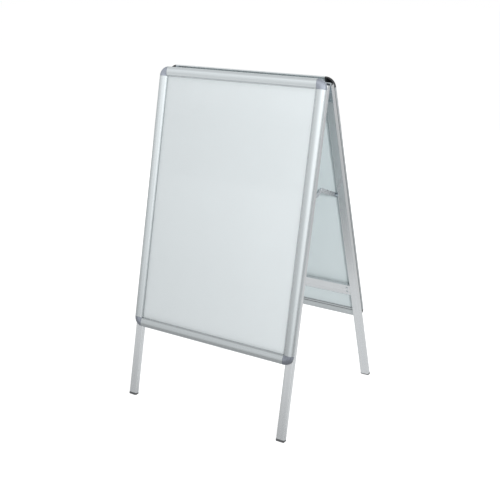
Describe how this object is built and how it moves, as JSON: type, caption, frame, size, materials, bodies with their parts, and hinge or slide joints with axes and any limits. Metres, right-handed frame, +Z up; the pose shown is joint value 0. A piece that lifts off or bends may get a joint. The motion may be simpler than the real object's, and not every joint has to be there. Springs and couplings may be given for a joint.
{
  "type": "sandwich board",
  "caption": "Double-sided folding A-frame poster board: two hinged aluminium snap-frame panels with rounded corners on tube legs, held open by folding side stays.",
  "frame": {"origin": "on the floor, midway between the four feet, below the middle of the top hinge axis", "axes": "+X across the board, +Y from the front panel to the rear panel, +Z up"},
  "size_m": [0.6444, 0.5824, 1.1066],
  "materials": {
    "anodised_aluminium": "satin silver anodised, fine lengthwise extrusion grain",
    "corner_plastic": "satin grey moulding",
    "black_plastic": "satin black moulding",
    "foot_plastic": "dark grey moulded plastic",
    "pale_sheet": "pale grey smooth sheet",
    "clear_film": "clear anti-glare film",
    "zinc_steel": "bright zinc plate",
    "spring_steel": "blued strip"
  },
  "bodies": {
    "front_frame": {"front_leg_left": "anodised_aluminium", "front_leg_right": "anodised_aluminium", "front_leg_plugs": "foot_plastic", "front_foot_left": "foot_plastic", "front_foot_right": "foot_plastic", "front_rail_left": "anodised_aluminium", "front_rail_top": "anodised_aluminium", "front_rail_right": "anodised_aluminium", "front_rail_bottom": "anodised_aluminium", "front_corner_top_left": "corner_plastic", "front_corner_top_right": "corner_plastic", "front_corner_bottom_right": "corner_plastic", "front_corner_bottom_left": "corner_plastic", "front_snap_springs": "spring_steel", "front_back_sheet": "pale_sheet", "front_cover_sheet": "clear_film", "front_crossbar": "anodised_aluminium", "front_crossbar_cleats": "zinc_steel", "front_rivets": "zinc_steel", "front_hinge_leaves": "zinc_steel", "front_stay_pivots": "zinc_steel", "hinge_pins": "zinc_steel"},
    "rear_frame": {"rear_leg_left": "anodised_aluminium", "rear_leg_right": "anodised_aluminium", "rear_leg_plugs": "foot_plastic", "rear_foot_left": "foot_plastic", "rear_foot_right": "foot_plastic", "rear_rail_left": "anodised_aluminium", "rear_rail_top": "anodised_aluminium", "rear_rail_right": "anodised_aluminium", "rear_rail_bottom": "anodised_aluminium", "rear_corner_top_left": "black_plastic", "rear_corner_top_right": "black_plastic", "rear_corner_bottom_right": "black_plastic", "rear_corner_bottom_left": "black_plastic", "rear_snap_springs": "spring_steel", "rear_back_sheet": "pale_sheet", "rear_cover_sheet": "clear_film", "rear_crossbar": "anodised_aluminium", "rear_crossbar_cleats": "zinc_steel", "rear_rivets": "zinc_steel", "rear_hinge_leaves": "zinc_steel", "rear_stay_pivots": "zinc_steel"},
    "front_flap_left": {"front_flap_left": "anodised_aluminium"},
    "front_flap_top": {"front_flap_top": "anodised_aluminium"},
    "front_flap_right": {"front_flap_right": "anodised_aluminium"},
    "front_flap_bottom": {"front_flap_bottom": "anodised_aluminium"},
    "rear_flap_left": {"rear_flap_left": "anodised_aluminium"},
    "rear_flap_top": {"rear_flap_top": "anodised_aluminium"},
    "rear_flap_right": {"rear_flap_right": "anodised_aluminium"},
    "rear_flap_bottom": {"rear_flap_bottom": "anodised_aluminium"},
    "stay_front_link_left": {"stay_front_link_left": "zinc_steel"},
    "stay_front_link_right": {"stay_front_link_right": "zinc_steel"},
    "stay_rear_link_left": {"stay_rear_link_left": "zinc_steel", "stay_knuckle_rivet_left": "zinc_steel"},
    "stay_rear_link_right": {"stay_rear_link_right": "zinc_steel", "stay_knuckle_rivet_right": "zinc_steel"}
  },
  "joints": [
    {"name": "fold", "type": "hinge", "parent": "front_frame", "child": "rear_frame", "pos_m": [0, 0, 1.089], "axis": [-1, 0, 0], "range_deg": [0, 28]},
    {"name": "front_flap_left_open", "type": "hinge", "parent": "front_frame", "child": "front_flap_left", "pos_m": [-0.3198, -0.13029, 0.67471], "axis": [0, -0.2419, -0.9703], "range_deg": [0, 90]},
    {"name": "front_flap_top_open", "type": "hinge", "parent": "front_frame", "child": "front_flap_top", "pos_m": [0, -0.02305, 1.10485], "axis": [-1, 0, 0], "range_deg": [0, 90]},
    {"name": "front_flap_right_open", "type": "hinge", "parent": "front_frame", "child": "front_flap_right", "pos_m": [0.3198, -0.13029, 0.67471], "axis": [0, 0.2419, 0.9703], "range_deg": [0, 90]},
    {"name": "front_flap_bottom_open", "type": "hinge", "parent": "front_frame", "child": "front_flap_bottom", "pos_m": [0, -0.23754, 0.24458], "axis": [1, 0, 0], "range_deg": [0, 90]},
    {"name": "rear_flap_left_open", "type": "hinge", "parent": "rear_frame", "child": "rear_flap_left", "pos_m": [-0.3198, 0.13029, 0.67471], "axis": [0, -0.2419, 0.9703], "range_deg": [0, 90]},
    {"name": "rear_flap_top_open", "type": "hinge", "parent": "rear_frame", "child": "rear_flap_top", "pos_m": [0, 0.02305, 1.10485], "axis": [1, 0, 0], "range_deg": [0, 90]},
    {"name": "rear_flap_right_open", "type": "hinge", "parent": "rear_frame", "child": "rear_flap_right", "pos_m": [0.3198, 0.13029, 0.67471], "axis": [0, 0.2419, -0.9703], "range_deg": [0, 90]},
    {"name": "rear_flap_bottom_open", "type": "hinge", "parent": "rear_frame", "child": "rear_flap_bottom", "pos_m": [0, 0.23754, 0.24458], "axis": [-1, 0, 0], "range_deg": [0, 90]},
    {"name": "stay_front_left_swing", "type": "hinge", "parent": "front_frame", "child": "stay_front_link_left", "pos_m": [-0.287, -0.1056, 0.70927], "axis": [1, 0, 0], "range_deg": [0, 48.59]},
    {"name": "stay_rear_left_swing", "type": "hinge", "parent": "rear_frame", "child": "stay_rear_link_left", "pos_m": [-0.287, 0.1056, 0.70927], "axis": [-1, 0, 0], "range_deg": [0, 48.59]},
    {"name": "stay_front_right_swing", "type": "hinge", "parent": "front_frame", "child": "stay_front_link_right", "pos_m": [0.287, -0.1056, 0.70927], "axis": [1, 0, 0], "range_deg": [0, 48.59]},
    {"name": "stay_rear_right_swing", "type": "hinge", "parent": "rear_frame", "child": "stay_rear_link_right", "pos_m": [0.287, 0.1056, 0.70927], "axis": [-1, 0, 0], "range_deg": [0, 48.59]}
  ],
  "couplings": [
    {"joint": "stay_front_left_swing", "follows": "fold", "ratio": 1.7334},
    {"joint": "stay_rear_left_swing", "follows": "fold", "ratio": 1.7334},
    {"joint": "stay_front_right_swing", "follows": "fold", "ratio": 1.7334},
    {"joint": "stay_rear_right_swing", "follows": "fold", "ratio": 1.7334}
  ]
}
